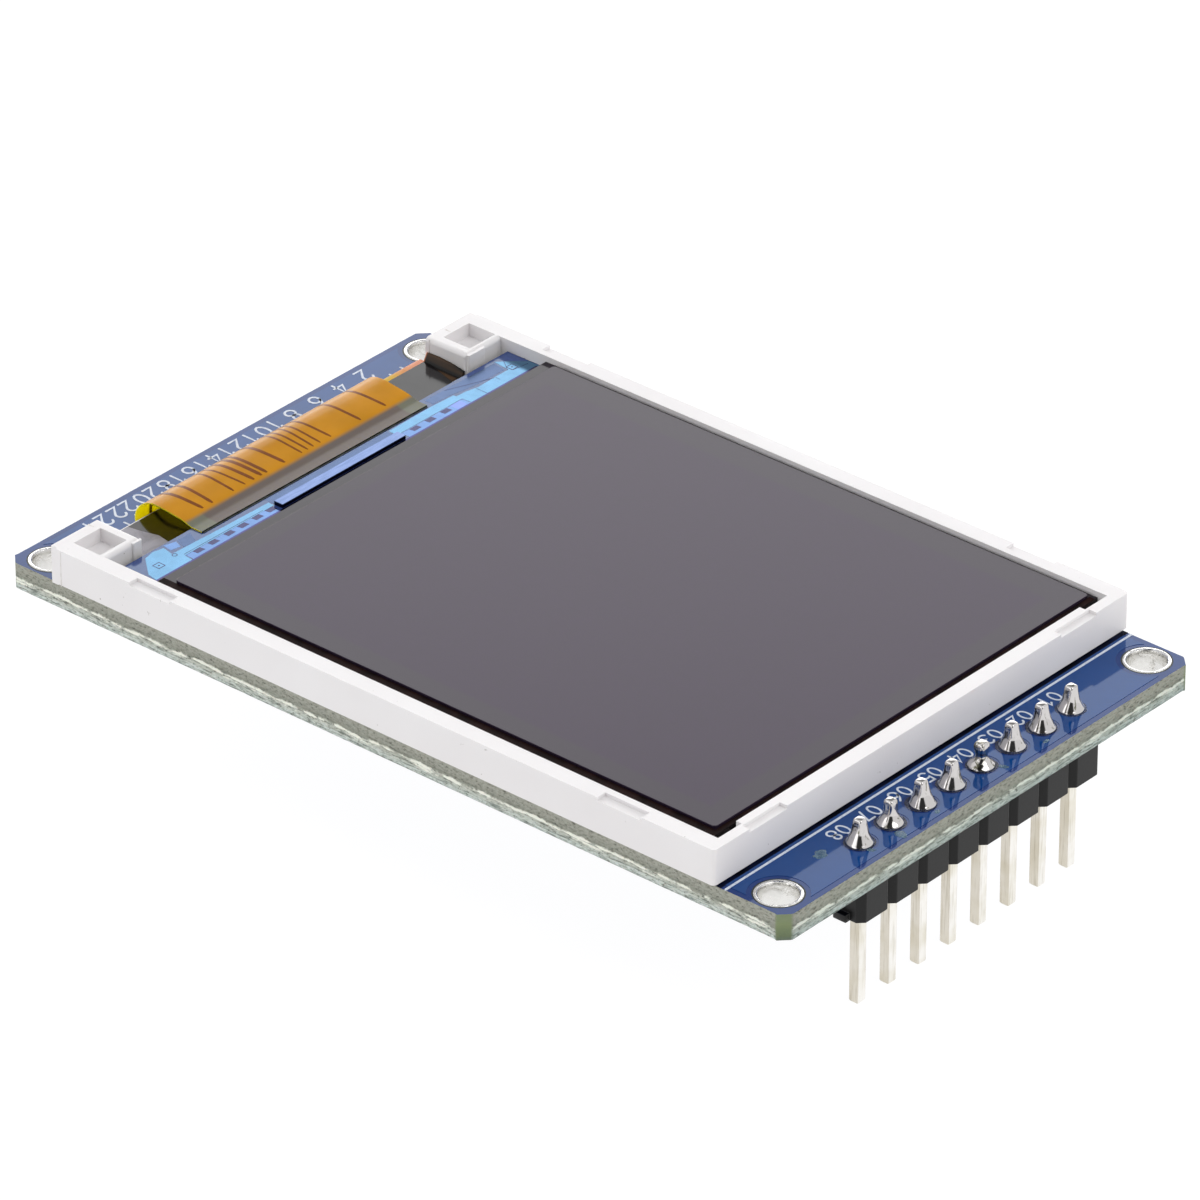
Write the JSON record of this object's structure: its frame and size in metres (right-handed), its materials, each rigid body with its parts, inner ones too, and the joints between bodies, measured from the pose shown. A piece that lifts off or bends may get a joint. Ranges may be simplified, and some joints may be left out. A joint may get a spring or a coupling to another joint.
{
  "type": "tft display module",
  "caption": "Small colour TFT display on a blue breakout board, in a white backlight frame, with a folded flex tail and a pin header underneath.",
  "frame": {"origin": "centre of the four mounting holes, on the board's underside", "axes": "+X along the pin header from pin 1 to pin 8, +Y from the flex end to the header end, +Z from the board to the display"},
  "size_m": [0.0348, 0.056, 0.0123],
  "materials": {
    "solder_mask_board": "glossy blue solder mask over glass-epoxy laminate",
    "plated_copper": "tin-levelled copper",
    "header_plastic": "moulded, satin",
    "pin_metal": "tin-plated brass",
    "solder": "bright tin solder",
    "frame_plastic": "moulded white polycarbonate, satin",
    "reflector": "white film",
    "clear_acrylic": "clear moulded acrylic",
    "optical_film": "translucent film",
    "polyimide": "amber polyimide with copper",
    "lamp_plastic": "moulded lamp case",
    "black_tape": "glossy black film",
    "polarizer_film": "dark film with a soft gloss",
    "panel_glass": "thin glass with conductor films",
    "silicon": "polished silicon",
    "foam_tape": "white foam tape",
    "epoxy_case": "moulded epoxy",
    "chip_ceramic": "fired ceramic",
    "chip_resistor_body": "coated ceramic"
  },
  "bodies": {
    "root": {"pcb": "solder_mask_board", "mounting_hole_plating": "plated_copper", "header_housing": "header_plastic", "header_pin_1": "pin_metal", "header_pin_2": "pin_metal", "header_pin_3": "pin_metal", "header_pin_4": "pin_metal", "header_pin_5": "pin_metal", "header_pin_6": "pin_metal", "header_pin_7": "pin_metal", "header_pin_8": "pin_metal", "solder_joint_1": "solder", "solder_joint_2": "solder", "solder_joint_3": "solder", "solder_joint_4": "solder", "solder_joint_5": "solder", "solder_joint_6": "solder", "solder_joint_7": "solder", "solder_joint_8": "solder", "lcd_frame": "frame_plastic", "reflector_film": "reflector", "light_guide": "clear_acrylic", "diffuser_film": "optical_film", "prism_film_lower": "optical_film", "prism_film_upper": "optical_film", "backlight_led_1": "lamp_plastic", "backlight_led_2": "lamp_plastic", "backlight_led_3": "lamp_plastic", "backlight_led_4": "lamp_plastic", "led_flex": "polyimide", "rim_tape": "black_tape", "rear_polarizer": "polarizer_film", "array_glass": "panel_glass", "colour_filter_glass": "panel_glass", "front_polarizer": "polarizer_film", "driver_chip": "silicon", "flex_tail": "polyimide", "mounting_tape_left": "foam_tape", "mounting_tape_right": "foam_tape", "voltage_regulator_case": "epoxy_case", "voltage_regulator_leads": "pin_metal", "backlight_transistor_case": "epoxy_case", "backlight_transistor_leads": "pin_metal", "chip_resistor_1": "chip_resistor_body", "chip_resistor_2": "chip_resistor_body", "chip_resistor_3": "chip_resistor_body", "chip_capacitor_1": "chip_ceramic", "chip_capacitor_2": "chip_ceramic", "chip_end_caps": "solder"}
  },
  "joints": []
}
